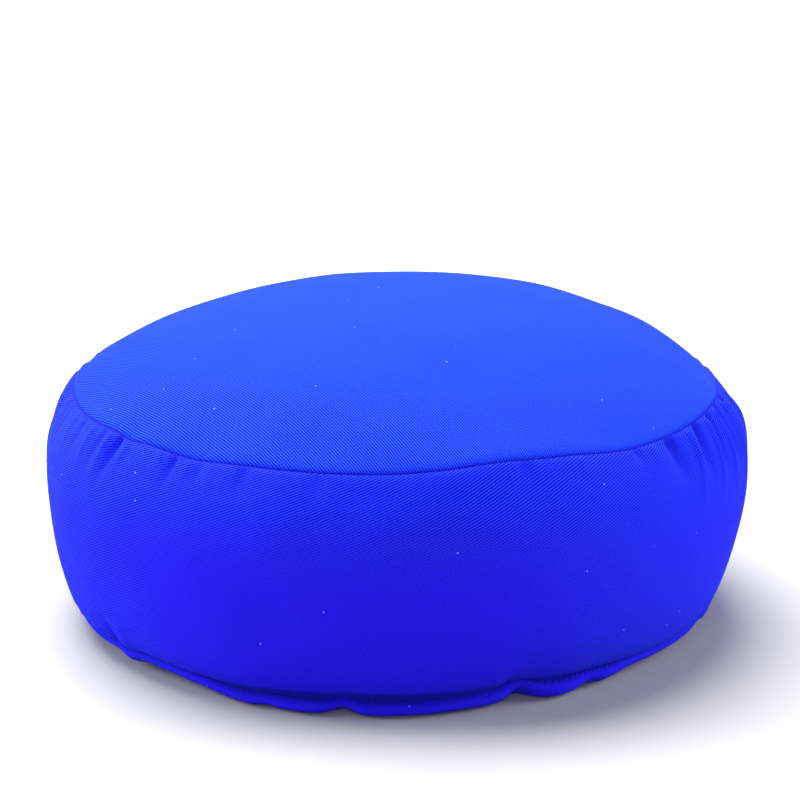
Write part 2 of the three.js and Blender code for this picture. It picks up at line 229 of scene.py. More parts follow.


# Cotton twill, woven and piece dyed: slanting ribs that catch the light, a matt nap and
# stray lint. The piece's own UV map is in metres, its first direction along the ribs. Its
# values say how far the ribs are rubbed flat, how much painted shade deepens the blue where
# the cloth turns from the light, and how much painted shade lies down in a seam or a fold.
def cottonTwill():
    material, tree, shader = newMaterial("cotton twill", Roughness=0.9)
    place = addNode(tree, "ShaderNodeUVMap", uv_map="weave").outputs[0]
    parts = addNode(tree, "ShaderNodeSeparateXYZ", {0: place})
    wander = addNode(
        tree, "ShaderNodeTexNoise",
        {"Vector": place, "Scale": twill["wanderPerMetre"], "Detail": 3.0},
    )
    drift = sumOf(tree, "MULTIPLY", wander.outputs[0], twill["wander"])
    across = sumOf(tree, "MULTIPLY_ADD", parts.outputs[1], turn / twill["pitch"], drift)
    swing = sumOf(tree, "SINE", across)
    rib = sumOf(tree, "MULTIPLY_ADD", swing, twill["ribSwing"], twill["ribMiddle"])
    rib = addNode(tree, "ShaderNodeClamp", {0: rib}).outputs[0]
    lean = sumOf(tree, "MULTIPLY", across, twill["yarnLean"])
    along = sumOf(tree, "MULTIPLY_ADD", parts.outputs[0], turn / twill["float"], lean)
    swing = sumOf(tree, "SINE", along)
    yarn = sumOf(tree, "MULTIPLY_ADD", swing, twill["yarnSwing"], twill["yarnMiddle"])
    weave = sumOf(tree, "MULTIPLY", rib, yarn)
    fluff = addNode(
        tree, "ShaderNodeTexNoise",
        {"Vector": place, "Scale": twill["napPerMetre"], "Detail": 2.0},
    )
    nap = sumOf(tree, "SUBTRACT", fluff.outputs[0], 0.5)
    worn, paintedShade, crease = [
        addNode(tree, "ShaderNodeAttribute", attribute_name=name).outputs["Fac"]
        for name in ("worn", "paintedShade", "crease")
    ]
    fresh = sumOf(tree, "SUBTRACT", 1.0, worn)
    raised = sumOf(tree, "SUBTRACT", weave, twill["middle"])
    weave = sumOf(tree, "MULTIPLY_ADD", raised, fresh, twill["middle"])
    height = sumOf(tree, "MULTIPLY_ADD", nap, twill["nap"], weave)
    height = addNode(tree, "ShaderNodeClamp", {0: height}).outputs[0]
    tone = mixOf(tree, height, linear(twill["valley"]), linear(twill["rib"]))
    # painted shade: where the cloth turns from the light it takes a deeper, darker blue
    shadedTone = mixOf(tree, height, linear(twill["shadedValley"]), linear(twill["shadedRib"]))
    tone = mixOf(tree, paintedShade, tone, shadedTone)
    # painted shade down in the seams and folds
    tone = mixOf(tree, crease, tone, linear(twill["seam"]))
    # Three cells in ten hold a pale speck of lint, about a millimetre across.
    cells = addNode(
        tree, "ShaderNodeTexVoronoi", {"Vector": place, "Scale": twill["lintPerMetre"]},
    )
    speck = sumOf(tree, "LESS_THAN", cells.outputs["Distance"], twill["lintSize"])
    pick = addNode(tree, "ShaderNodeSeparateColor", {0: cells.outputs["Color"]}).outputs[0]
    chosen = sumOf(tree, "LESS_THAN", pick, twill["lintShare"])
    lint = sumOf(tree, "MULTIPLY", speck, chosen)
    shown = sumOf(tree, "MULTIPLY", lint, twill["lintStrength"])
    colour = mixOf(tree, shown, tone, linear(twill["lint"]))
    tree.links.new(colour, shader.inputs["Base Color"])
    bump = addNode(
        tree, "ShaderNodeBump",
        {"Height": height, "Strength": twill["relief"], "Distance": twill["depth"]},
    )
    tree.links.new(bump.outputs[0], shader.inputs["Normal"])
    shader.inputs["Specular IOR Level"].default_value = twill["gloss"]
    shader.inputs["Sheen Weight"].default_value = twill["sheen"]
    shader.inputs["Sheen Roughness"].default_value = twill["sheenRoughness"]
    shader.inputs["Sheen Tint"].default_value = linear(twill["sheenTint"])
    return material


# Two tones mottled by noise, with a bump of the same pattern: size and depth in metres.
def mottled(name, dark, light, size, depth, **values):
    material, tree, shader = newMaterial(name, **values)
    place = addNode(tree, "ShaderNodeTexCoord").outputs["Object"]
    noise = addNode(
        tree, "ShaderNodeTexNoise", {"Vector": place, "Scale": 1 / size, "Detail": 3.0},
    )
    tree.links.new(mixOf(tree, noise.outputs[0], linear(dark), linear(light)), shader.inputs[0])
    bump = addNode(tree, "ShaderNodeBump", {"Height": noise.outputs[0], "Distance": depth})
    tree.links.new(bump.outputs[0], shader.inputs["Normal"])
    return material


# A plain weave of over-and-under yarns on the piece's own UV map in metres.
def plainWeave(name, dark, light, pitch, depth, **values):
    material, tree, shader = newMaterial(name, **values)
    place = addNode(tree, "ShaderNodeUVMap", uv_map="weave").outputs[0]
    parts = addNode(tree, "ShaderNodeSeparateXYZ", {0: place})
    yarns = [
        sumOf(tree, "SINE", sumOf(tree, "MULTIPLY", parts.outputs[k], math.pi / pitch))
        for k in (0, 1)
    ]
    over = sumOf(tree, "MULTIPLY_ADD", sumOf(tree, "MULTIPLY", *yarns), 0.5, 0.5)
    tree.links.new(mixOf(tree, over, linear(dark), linear(light)), shader.inputs[0])
    bump = addNode(tree, "ShaderNodeBump", {"Height": over, "Strength": 0.8, "Distance": depth})
    tree.links.new(bump.outputs[0], shader.inputs["Normal"])
    return material


cloth = cottonTwill()
# spun polyester, darker than the cloth it closes
threadBlue = mottled("sewing thread", "#0a0e80", "#141cb4", 0.5 * mm, 0.05 * mm, Roughness=0.8)
threadBlue.node_tree.nodes["Principled BSDF"].inputs["Specular IOR Level"].default_value = 0.1
# woven polyester tape, matt and dense
tapeBlue = mottled("zip tape weave", "#10169c", "#1c26c8", 0.7 * mm, 0.08 * mm, Roughness=0.85)
# nylon monofilament, smooth enough for a soft highlight
nylonBlue = mottled("zip nylon", "#141ba8", "#1c26c4", 3 * mm, 0.01 * mm, Roughness=0.38)
# nickel plate on pressed zinc, finely tumbled
nickel = mottled(
    "zip nickel", "#b4b6ba", "#cfd0d2", 0.6 * mm, 0.01 * mm, Roughness=0.3, Metallic=1.0,
)
# satin ribbon, white with a soft gleam
satin = mottled("label satin", "#e6e6e2", "#f6f6f4", 1.0 * mm, 0.02 * mm, Roughness=0.45)
# unbleached cotton, with dry visible yarns
calico = plainWeave("calico", "#c9bd9f", "#e9e0cb", 0.45 * mm, 0.12 * mm, Roughness=0.9)
# buckwheat hulls, dark brown and slightly waxy
hulls = mottled("buckwheat hulls", "#1c120c", "#5a4030", 4 * mm, 0.3 * mm, Roughness=0.65)
print("stage: materials")


# The cover, the inner bag and the filling share one kind of outline, sized from the frame.

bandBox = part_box("cover_side_band")
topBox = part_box("cover_top_panel")
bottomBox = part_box("cover_bottom_panel")
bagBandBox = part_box("inner_bag_band")
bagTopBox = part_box("inner_bag_top")
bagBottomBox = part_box("inner_bag_bottom")
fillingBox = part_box("hull_filling")
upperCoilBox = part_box("zip_coil_upper")
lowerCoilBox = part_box("zip_coil_lower")
coverForm = {
    "wideRadius": bandBox[1].x,
    "wideHeight": 71 * mm,
    "topRadius": topBox[1].x + 0.5 * mm,
    "topHeight": bandBox[1].z + 0.5 * mm,
    "crown": topBox[1].z,
    "crownPower": 2.4,
    "bottomRadius": bottomBox[1].x + 0.3 * mm,
    "bottomHeight": 8.5 * mm,
    "restRadius": 136 * mm,
    "base": bottomBox[0].z,
    "bulgePower": 2.2,
}
bagForm = {
    **coverForm,
    "wideRadius": bagBandBox[1].x,
    "topRadius": bagTopBox[1].x,
    "topHeight": bagBandBox[1].z,
    "crown": bagTopBox[1].z,
    "bottomRadius": bagBottomBox[1].x,
    "bottomHeight": bagBandBox[0].z - 0.3 * mm,
    "restRadius": 128 * mm,
    "base": bagBottomBox[0].z,
}
fillingForm = {
    **bagForm,
    "wideRadius": fillingBox[1].x - 0.8 * mm,
    "topRadius": bagTopBox[1].x - 3 * mm,
    "topHeight": bagBandBox[1].z - 2 * mm,
    "crown": fillingBox[1].z - 0.8 * mm,
    "bottomRadius": bagBottomBox[1].x - 3 * mm,
    "restRadius": 122 * mm,
    "base": fillingBox[0].z + 0.8 * mm,
}
# The chain lies along the bottom seam at the back. Across is towards the band, out is away
# from the cushion, both as unit lengths in radius and height.
zipForm = {
    "radius": lowerCoilBox[1].y - 0.32 * mm,
    "height": (upperCoilBox[0].z + lowerCoilBox[1].z) / 2 - 0.09 * mm,
    "across": (0.4419, 0.8971),
    "out": (0.8971, -0.4419),
    "endAngle": math.atan2(upperCoilBox[0].y, upperCoilBox[1].x) - math.radians(2.1),
    "halfSlot": 5.2 * mm,
    "stitchesAway": 8.2 * mm,  # from the seam to each row that holds a tape
}


# The outline from the top's centre to the base's centre, as dense points, with their
# distance along it and the distances of its two seams.
def makeOutline(form):
    share = np.linspace(0, 1, 400)
    rise = form["crown"] - form["topHeight"]
    top = np.column_stack([
        form["topRadius"] * share,
        form["topHeight"] + rise * (1 - share ** form["crownPower"]),
    ])

    def bulge(height, endRadius, endHeight):
        part = np.abs((height - form["wideHeight"]) / (endHeight - form["wideHeight"]))
        return form["wideRadius"] - (form["wideRadius"] - endRadius) * part ** form["bulgePower"]

    upper = np.linspace(form["topHeight"], form["wideHeight"], 200)
    lower = np.linspace(form["wideHeight"], form["bottomHeight"], 200)[1:]
    band = np.vstack([
        np.column_stack([bulge(upper, form["topRadius"], form["topHeight"]), upper]),
        np.column_stack([bulge(lower, form["bottomRadius"], form["bottomHeight"]), lower]),
    ])
    quarter = np.linspace(0, math.pi / 2, 120)
    lip = np.column_stack([
        form["restRadius"] + (form["bottomRadius"] - form["restRadius"]) * np.cos(quarter),
        form["base"] + (form["bottomHeight"] - form["base"]) * (1 - np.sin(quarter)),
    ])
    rest = np.linspace(form["restRadius"], 0, 200)
    rest = np.column_stack([rest, np.full(len(rest), form["base"])])
    points = np.vstack([top, band[1:], lip[1:], rest[1:]])
    places = np.concatenate([[0], np.cumsum(np.linalg.norm(np.diff(points, axis=0), axis=1))])
    form["outline"] = points
    form["places"] = places
    form["topSeam"] = places[len(top) - 1]
    form["bottomSeam"] = places[len(top) + len(band) - 2]
    form["lipEnd"] = places[len(top) + len(band) + len(lip) - 3]
    form["end"] = places[-1]


def outlineAt(form, places):
    line = form["outline"]
    return np.column_stack([np.interp(places, form["places"], line[:, k]) for k in (0, 1)])


def formPoint(form, place, angle):
    flat = outlineAt(form, place)
    return np.column_stack([flat[:, 0] * np.cos(angle), flat[:, 0] * np.sin(angle), flat[:, 1]])


for form in (coverForm, bagForm, fillingForm):
    makeOutline(form)
topSeam, bottomSeam = coverForm["topSeam"], coverForm["bottomSeam"]


# Places from start to end, close together within a reach of the ends that are seams.
def gradedPlaces(start, end, fineStart, fineEnd, fine, coarse, reach=12 * mm):
    length = end - start
    places = [0.0]
    while places[-1] < length:
        here = places[-1]
        away = min(here if fineStart else length, (length - here) if fineEnd else length)
        places.append(here + fine + (coarse - fine) * min(1.0, max(away, 0) / reach))
    scaled = np.array(places)
    return start + scaled * (length / scaled[-1])


# A skin turned about the upright axis. Each point keeps its place on the outline, and how
# deep in a turned-in seam allowance it lies. Hems are such depths before and after.
def turnedSkin(form, places, steps, start=0.0, gap=0.0, hemBefore=(), hemAfter=()):
    mesh = bmesh.new()
    placeLayer = mesh.verts.layers.float.new("place")
    hemLayer = mesh.verts.layers.float.new("hem")
    rows = [(places[0], depth) for depth in sorted(hemBefore, reverse=True)]
    rows += [(place, 0.0) for place in places]
    rows += [(places[-1], depth) for depth in sorted(hemAfter)]
    flat = outlineAt(form, np.array([place for place, depth in rows]))
    line = []
    for (place, depth), (radius, height) in zip(rows, flat):
        radius -= depth
        first = start + gap / 2
        point = mesh.verts.new((radius * math.cos(first), radius * math.sin(first), height))
        point[placeLayer] = place
        point[hemLayer] = depth
        line.append(point)
    edges = [mesh.edges.new(pair) for pair in zip(line, line[1:])]
    bmesh.ops.spin(
        mesh, geom=line + edges, cent=(0, 0, 0), axis=(0, 0, 1),
        angle=turn - gap, steps=steps, use_merge=gap == 0,
    )
    bmesh.ops.remove_doubles(mesh, verts=mesh.verts, dist=0.01 * mm)
    bmesh.ops.recalc_face_normals(mesh, faces=mesh.faces)
    mesh.verts.ensure_lookup_table()
    middle = Vector((0, 0, form["wideHeight"]))
    facing = sum(
        face.normal.dot(face.calc_center_median() - middle) * face.calc_area()
        for face in mesh.faces if max(v[hemLayer] for v in face.verts) == 0
    )
    if facing < 0:
        bmesh.ops.reverse_faces(mesh, faces=mesh.faces)
    return mesh


def anglesOf(points, start=0.0):
    small = 1e-5
    angles = np.arctan2(points[:, 1], points[:, 0])
    return (angles - start + small) % turn - small + start


# Degrees from the front, which is at -Y, growing towards +X.
def fromFront(angles):
    return (np.degrees(angles) + 90 + 180) % 360 - 180


def smoothStep(value, low, high):
    share = np.clip((value - low) / (high - low), 0, 1)
    return share * share * (3 - 2 * share)


# 1 where the zip is, 0 elsewhere.
def zipShare(angle, margin=0.0):
    fromBack = np.abs((np.degrees(angle) - 90 + 180) % 360 - 180)
    half = 90 - math.degrees(zipForm["endAngle"]) + margin
    return 1 - smoothStep(fromBack, half, half + 2.0)


# The stuffed cover, settled by cloth simulation.

simulation = {
    "steps": 300,
    "spacing": 4.2 * mm,
    "frames": 22,
    "pressure": 4.0,
    "ease": -0.22,  # how much longer the eased cloth is than its seam
    "cap": 7 * mm,
    "hold": 0.1,
    "stillRadius": 95 * mm,  # the middle of the top, which doesn't move
    "easeEven": 0.2,  # the share of ease between the gathers
    "easeReach": 28 * mm,  # how far below the seam the ease goes
    "easeWidth": 4.0,  # degrees
    "push": 0.8 * mm,  # the start of each fold
    "pushFrom": 4 * mm,
    "pushReach": 16 * mm,
    "pushWidth": 2.0,  # degrees
}
# Where the band is gathered into the top seam, and how much: degrees from the front, share.
gathers = [
    (-76, 0.6), (-59, 0.6), (-52.5, 1.0), (-38.5, 0.7), (-25, 0.5), (-12, 0.3), (21, 0.4),
    (43, 0.6), (51.5, 0.9), (60.5, 1.0), (66, 1.0), (70.5, 1.0), (75.5, 1.0), (81, 0.9),
    (96, 0.6), (112, 0.8), (126, 0.6), (141, 0.9), (158, 0.7), (173, 0.9), (-172, 0.6),
    (-158, 0.9), (-141, 0.7), (-124, 0.9), (-108, 0.7), (-92, 0.8),
]


def nearGather(degrees, width):
    share = np.zeros_like(degrees)
    for middle, strength in gathers:
        apart = (degrees - middle + 180) % 360 - 180
        share = np.maximum(share, strength * np.exp(-((apart / width) ** 2)))
    return share


def simulateCover():
    form = coverForm
    spacing = simulation["spacing"]
    places = np.concatenate([
        gradedPlaces(0, topSeam, False, False, spacing, spacing)[:-1],
        gradedPlaces(topSeam, bottomSeam, False, False, spacing, spacing)[:-1],
        gradedPlaces(bottomSeam, form["end"], False, False, spacing, spacing),
    ])
    steps = simulation["steps"]
    skin = makeObject("clothTest", turnedSkin(form, places, steps), cloth)
    rest = readPoints(skin.data)
    place = readValues(skin.data, "place")
    angle = anglesOf(rest)
    radius = np.hypot(rest[:, 0], rest[:, 1])
    degrees = fromFront(angle)
    hold = np.full(len(rest), simulation["hold"])
    hold[(place < topSeam) & (radius < simulation["stillRadius"])] = 1
    hold[(place > bottomSeam) & (radius < form["restRadius"])] = 1
    hold[np.abs(place - topSeam) < 1 * mm] = 0.9
    hold[np.abs(place - bottomSeam) < 3 * mm] = 1
    below = place - topSeam
    eased = simulation["easeEven"] + nearGather(degrees, simulation["easeWidth"])
    ease = np.where(below > 0, np.exp(-((below / simulation["easeReach"]) ** 2)), 0) * eased
    for name, values in (("hold", hold), ("ease", np.clip(ease, 0, 1))):
        group = skin.vertex_groups.new(name=name)
        for index, value in enumerate(values):
            if value > 0.001:
                group.add([index], float(value), "REPLACE")
    # A small start for each fold, so that the eased cloth buckles inwards there.
    started = np.clip(below / simulation["pushFrom"], 0, 1)
    seed = np.where(below > 0, np.exp(-below / simulation["pushReach"]) * started, 0)
    push = simulation["push"] * seed * nearGather(degrees, simulation["pushWidth"])
    start = rest.copy()
    start[:, :2] -= rest[:, :2] / np.maximum(radius, mm)[:, None] * push[:, None]
    writePoints(skin.data, start)
    modifier = skin.modifiers.new("Cloth", "CLOTH")
    settings = modifier.settings
    settings.quality = 7
    settings.mass = 0.3
    settings.tension_stiffness = 25
    settings.compression_stiffness = 25
    settings.shear_stiffness = 8
    settings.bending_stiffness = 0.08
    settings.tension_damping = 8
    settings.compression_damping = 8
    settings.air_damping = 2
    settings.use_pressure = True
    settings.uniform_pressure_force = simulation["pressure"]
    settings.vertex_group_mass = "hold"
    settings.pin_stiffness = 1.0
    settings.vertex_group_shrink = "ease"
    settings.shrink_min = 0.0
    settings.shrink_max = simulation["ease"]
    settings.effector_weights.gravity = 0
    modifier.collision_settings.use_collision = False
    modifier.point_cache.frame_start = 1
    modifier.point_cache.frame_end = simulation["frames"]
    for number in range(1, simulation["frames"] + 1):
        scene.frame_set(number)
    graph = bpy.context.evaluated_depsgraph_get()
    moved = readPoints(skin.evaluated_get(graph).data) - rest
    scene.frame_set(1)
    size = np.linalg.norm(moved, axis=1)
    print("cloth moved, mean and most in mm", size.mean() / mm, size.max() / mm)
    cap = simulation["cap"]
    moved *= (cap * np.tanh(size / cap) / np.maximum(size, 1e-9))[:, None]
    # The same as a grid of rings and steps, as moves outwards, round and up.
    ring = np.argmin(np.abs(place[:, None] - places[None, :]), axis=1)
    step = np.round(angle / turn * steps).astype(int) % steps
    grid = np.zeros((len(places), steps, 3))
    grid[ring, step, 0] = moved[:, 0] * np.cos(angle) + moved[:, 1] * np.sin(angle)
    grid[ring, step, 1] = -moved[:, 0] * np.sin(angle) + moved[:, 1] * np.cos(angle)
    grid[ring, step, 2] = moved[:, 2]
    grid[0] = 0
    bpy.data.objects.remove(skin)
    return places, grid


fieldPlaces, field = simulateCover()
print("stage: cloth simulation")


# Cubic weights for four neighbours at a share between the middle two.
def cubicWeights(t):
    return np.stack([
        -0.5 * t + t ** 2 - 0.5 * t ** 3,
        1 - 2.5 * t ** 2 + 1.5 * t ** 3,
        0.5 * t + 2 * t ** 2 - 1.5 * t ** 3,
        -0.5 * t ** 2 + 0.5 * t ** 3,
    ])


# How far the settled cloth lies from the plain form: outwards, round and up.
def settledMove(place, angle):
    rings, steps = field.shape[:2]
    ringAt = np.interp(place, fieldPlaces, np.arange(rings))
    stepAt = (angle / turn * steps) % steps
    ring, step = np.floor(ringAt).astype(int), np.floor(stepAt).astype(int)
    ringWeights, stepWeights = cubicWeights(ringAt - ring), cubicWeights(stepAt - step)
    total = np.zeros((len(place), 3))
    for i in range(4):
        row = np.clip(ring + i - 1, 0, rings - 1)
        for j in range(4):
            column = (step + j - 1) % steps
            total += field[row, column] * (ringWeights[i] * stepWeights[j])[:, None]
    return total


# Folds, gathers and the wandering seams.


# A smooth closed curve round the cushion through (degrees from the front, mm) pairs.
def aroundCurve(pairs, soften=1.0):
    knots = sorted(pairs)
    degrees = np.arange(-180, 180, 0.1)
    values = np.interp(degrees, [k[0] for k in knots], [k[1] for k in knots], period=360)
    reach = np.arange(-60, 61) * 0.1
    bell = np.exp(-((reach / soften) ** 2))
    wrapped = np.concatenate([values[-60:], values, values[:60]])
    smooth = np.convolve(wrapped, bell / bell.sum(), "valid")
    return lambda at: np.interp(at, degrees, smooth, period=360) * mm


# Such pairs at random, for a stretch of the back.
def backPairs(low, high, gap, size):
    places = np.arange(low, high, gap)
    places = places + random.uniform(-0.3, 0.3, len(places)) * gap
    return [((place + 180) % 360 - 180, random.uniform(-size, size)) for place in places]


shape = {
    # how far the top seam wanders up
    "topSeamRise": aroundCurve([
        (-85, -1.5), (-74, -2.4), (-60, -1.2), (-54, -0.6), (-51, -1.9), (-46, -0.9), (-36, -2.2),
        (-28, -1.4), (-18, -1.2), (-8, -0.8), (0, -0.6), (8, 0.6), (14, 2.4), (18, 3.0), (24, 2.2),
        (30, 1.6), (36, -0.2), (42, -1.8), (49, -1.6), (58, -1.2), (70, -0.8), (80, -2.6),
        (92, -3.6), (106, -3.4), (120, -2.6), (132, -0.8), *backPairs(90, 270, 11, 1.6)[5:],
    ], 1.6),
    # how far the top seam moves out
    "topSeamOut": aroundCurve([
        (-110, 0), (-90, -0.6), (-75, -1.2), (-60, -0.4), (0, 0), (60, 0), (74, -1.4), (90, -2.6),
        (106, -2.2), (125, 0),
    ], 4.0),
    # how far the bottom seam drops, and how far it stands out
    "bottomSeamDrop": aroundCurve([
        (-75, 0), (-60, 0), (-55, -0.6), (-52, 0.6), (-48, -0.6), (-42, 0.2), (-36, 1.4),
        (-26, 2.1), (-16, 1.8), (-6, 1.3), (8, 1.3), (15, 1.0), (21, -0.8), (26, 0.2), (34, 0),
        (60, 0), *backPairs(75, 120, 12, 1.2), *backPairs(240, 282, 12, 1.2),
    ], 1.6),
    "bottomSeamOut": aroundCurve([
        (-92, 0.6), (-80, 3.4), (-68, 5.4), (-58, 5.8), (-46, 4.6), (-36, 4.2), (-26, 4.6),
        (-16, 3.2), (-6, 2.4), (8, 1.8), (16, 0.8), (21.6, -1.2), (29, 0.4), (45, 1.0),
        (60, 2.2), (75, 0),
    ], 3.0),
    # how far the lip under the bottom seam stands out, in soft lobes
    "lip": aroundCurve([
        (-90, -4), (-70, -3), (-56, -4), (-52, 0.5), (-49, -4), (-40, -3), (-34, 0), (-29, 5),
        (-24, 8.2), (-21.4, 5.6), (-19, 8.8), (-15, 10.2), (-12, 9.2), (-10.2, 4.5),
        (-8.9, 1.5), (-7.6, 4.5), (-5.6, 9.8), (-2.5, 10.4), (4, 9), (12, 5.6), (17.4, 3.2),
        (20, -2), (21.5, -8.5), (23, -2), (25.4, 4), (28, 6), (31.6, 3.8),
        (35, -1.5), (38, 1.6), (41, 0), (46, -4), (60, -5), (75, -4), (100, 3), (114, -3),
        (-110, -3), (-98, 3),
    ], 0.7),
    # how much the crown rises towards the right
    "crownLean": 0.028,
}
# Folds of the band under the top seam: degrees from the front, length below the seam, height
# (a valley is negative), half width, and how many degrees it leans by its end.
folds = [
    (-76, 34, -1.0, 3.6, -1), (-71, 32, 0.8, 2.4, -1), (-66, 28, -0.9, 3.2, -2),
    (-61, 30, 1.1, 1.9, -3), (-57.4, 30, -1.3, 2.2, -3), (-55, 28, 1.5, 1.4, -2.8),
    (-52.6, 30, -2.7, 2.0, -3), (-49.8, 22, 1.3, 1.6, -2.4), (-41.5, 16, 0.6, 2.2, -1),
    (-38.6, 20, -1.8, 2.0, -1.4), (-35.4, 16, 0.9, 2.0, -1), (-33, 15, -0.8, 1.8, -1),
    (-31, 18, 0.5, 3.5, 0), (-25, 20, -1.1, 3.6, 0),
    (-12.4, 16, -0.8, 5.0, 0), (9, 14, 0.4, 5.0, 0), (20.8, 18, -0.9, 4.5, 0),
    (31, 16, 0.5, 4.0, 0), (42.8, 11, -1.6, 2.4, 0.4), (46.5, 20, 0.8, 2.6, 0.6),
    (51.4, 30, -3.0, 4.8, 1.6), (57.2, 42, 2.2, 1.3, -0.6), (60.6, 36, -3.2, 3.4, -0.4),
    (64.2, 46, 2.6, 1.3, -0.2), (67.0, 38, -3.2, 3.1, 0.5), (69.9, 48, 2.6, 1.3, 0.9),
    (73.0, 40, -3.4, 3.3, 1.2), (76.3, 48, 2.8, 1.4, 1.0), (80.6, 48, -5.0, 4.2, 1.2),
    (85.6, 44, 2.2, 1.9, 0.8), (89, 30, -1.6, 2.6, 0),
]
for at in np.arange(92, 282, 6.5):
    lean, rise = random.uniform(-1.5, 1.5), random.uniform(0.7, 1.9)
    low = random.uniform(18, 38)
    side = (at + random.uniform(-1.5, 1.5) + 180) % 360 - 180
    folds.append((side, low, -rise, random.uniform(2.5, 4.2), lean))
    folds.append((side + 3.1, low + 6, 0.8 * rise, random.uniform(1.6, 2.4), lean))
# Folds that rise from the bottom seam, in the same terms.
lowFolds = [
    (-57.5, 18, 1.4, 2.6, -4), (-53.4, 20, -2.4, 2.7, -3.4), (-49.6, 14, 1.2, 2.6, -2),
    (-71, 16, -1.2, 3.0, 2), (19.6, 10, -1.5, 3.4, -1), (63, 16, -1.0, 3.0, 2),
    (66.5, 18, 1.0, 2.2, 2), (98, 16, -1.6, 3.2, 2), (111, 15, -1.2, 3.0, -2),
    (-95, 16, -1.6, 3.2, 2), (-108, 18, -1.3, 3.2, 1),
]


# The height of one family of folds, at distances from its seam.
def foldHeight(family, away, degrees):
    total = np.zeros_like(away)
    for at, length, height, width, lean in family:
        share = np.clip(away / (length * mm), 0, 1)
        apart = (degrees - at - lean * share + 180) % 360 - 180
        across = np.abs(np.radians(apart)) * coverForm["wideRadius"] / (width * mm)
        across = across / (0.75 + 0.5 * share)
        crest = np.exp(-across ** 1.25) if height > 0 else np.exp(-across ** 2)
        fade = smoothStep(away, -0.2 * mm, 3.2 * mm) * (1 - smoothStep(share, 0.25, 1.0))
        total += height * mm * crest * fade
    return total


waves = [
    (random.uniform(0, turn), turn / random.uniform(34 * mm, 95 * mm), random.uniform(0, turn))
    for number in range(16)
]


# The hulls inside make the cloth softly uneven.
def lumps(points):
    total = np.zeros(len(points))
    for heading, wave, phase in waves:
        along = points[:, 0] * math.cos(heading) + points[:, 1] * math.sin(heading)
        total += np.sin(along * wave + 0.6 * points[:, 2] * wave + phase)
    return total / len(waves) * 1.5 * mm


# How far from a seam or from the centre each change of the settled form still shows.
spread = {
    "topSeam": 17 * mm,
    "aboveBottomSeam": 26 * mm,
    "underBottomSeam": 9 * mm,
    "zip": 22 * mm,
    "crown": 110 * mm,
    "floorGap": 0.02 * mm,
}


# The settled form with its wandering seams, before folds.
def softForm(place, angle):
    degrees = fromFront(angle)
    calm = 1 - zipShare(angle) * np.exp(-(((place - bottomSeam) / spread["zip"]) ** 2))
    out, around, rise = (settledMove(place, angle) * calm[:, None]).T
    atTop = np.exp(-(((place - topSeam) / spread["topSeam"]) ** 2))
    rise = rise + shape["topSeamRise"](degrees) * atTop
    out = out + shape["topSeamOut"](degrees) * atTop
    fromBottom = place - bottomSeam
    reach = np.where(fromBottom < 0, spread["aboveBottomSeam"], spread["underBottomSeam"])
    atBottom = np.exp(-((fromBottom / reach) ** 2)) * calm
    rise = rise - shape["bottomSeamDrop"](degrees) * atBottom
    out = out + shape["bottomSeamOut"](degrees) * atBottom
    share = np.clip(fromBottom / (coverForm["lipEnd"] - bottomSeam), 0, 1)
    lobe = np.sin(math.pi * share ** 1.15) ** 0.9
    out = out + shape["lip"](degrees) * lobe * calm
    points = formPoint(coverForm, place, angle)
    points[:, 0] += out * np.cos(angle) - around * np.sin(angle)
    points[:, 1] += out * np.sin(angle) + around * np.cos(angle)
    atCrown = np.exp(-((place / spread["crown"]) ** 2))
    rise = rise + shape["crownLean"] * points[:, 0] * atCrown
    points[:, 2] = np.maximum(points[:, 2] + rise, spread["floorGap"])
    return points


def softNormal(place, angle):
    small, turnStep = 0.4 * mm, 0.002
    down = softForm(place + small, angle) - softForm(np.maximum(place - small, 0), angle)
    across = softForm(place, angle + turnStep) - softForm(place, angle - turnStep)
    return unit(np.cross(down, across))


panels = {
    "steps": 760,
    "fine": 0.8 * mm,
    "coarse": 2.6 * mm,
    "thickness": 0.8 * mm,
    "hem": (1 * mm, 4 * mm, 8 * mm),
    "joinAngle": math.radians(165),
    "joinGap": 0.15 * mm,
    "topGrain": math.radians(-56),
    "bandGrain": math.radians(25),
    "bottomGrain": math.radians(8),
    "topTilt": 0.8,  # how far the turned-in cloth points down, in radians
    "bottomTilt": -0.22,
    "zipHem": 0.05,  # the share of its turned-in depth that the cloth keeps at the zip
}


# How deep the cloth dips at each seam, and how far the dip spreads.
dips = {
    "top": 1.5 * mm,
    "topSpread": 1.3 * mm,
    "bottom": 3.6 * mm,
    "aboveSpread": 2.2 * mm,
    "underSpread": 1.0 * mm,
    "join": 1.4 * mm,
    "joinSpread": 1.5 * mm,
}


# The cover's outer face and its normal, at any place and angle.
def coverPoint(place, angle):
    points = softForm(place, angle)
    normals = softNormal(place, angle)
    degrees = fromFront(angle)
    onBand = (place >= topSeam) & (place <= bottomSeam)
    height = np.where(onBand, foldHeight(folds, place - topSeam, degrees), 0)
    free = 1 - zipShare(angle, 4.0)
    height += np.where(onBand, foldHeight(lowFolds, bottomSeam - place, degrees), 0) * free
    calm = smoothStep(np.abs(place - bottomSeam), 2 * mm, 30 * mm)
    flat = 1 - smoothStep(place, coverForm["lipEnd"] - 4 * mm, coverForm["lipEnd"] + 2 * mm)
    height += lumps(points) * calm * flat
    height -= dips["top"] * np.exp(-np.abs(place - topSeam) / dips["topSpread"])
    width = np.where(place < bottomSeam, dips["aboveSpread"], dips["underSpread"])
    low = dips["bottom"] * np.exp(-np.abs(place - bottomSeam) / width)
    height -= low * (1 - zipShare(angle))
    fromJoin = np.abs((angle - panels["joinAngle"] + math.pi) % turn - math.pi)
    fromJoin = fromJoin * coverForm["wideRadius"]
    height -= np.where(onBand, dips["join"] * np.exp(-fromJoin / dips["joinSpread"]), 0)
    points = points + normals * height[:, None]
    points[:, 2] = np.maximum(points[:, 2], spread["floorGap"])
    return points, normals


# The three cloth pieces of the cover.


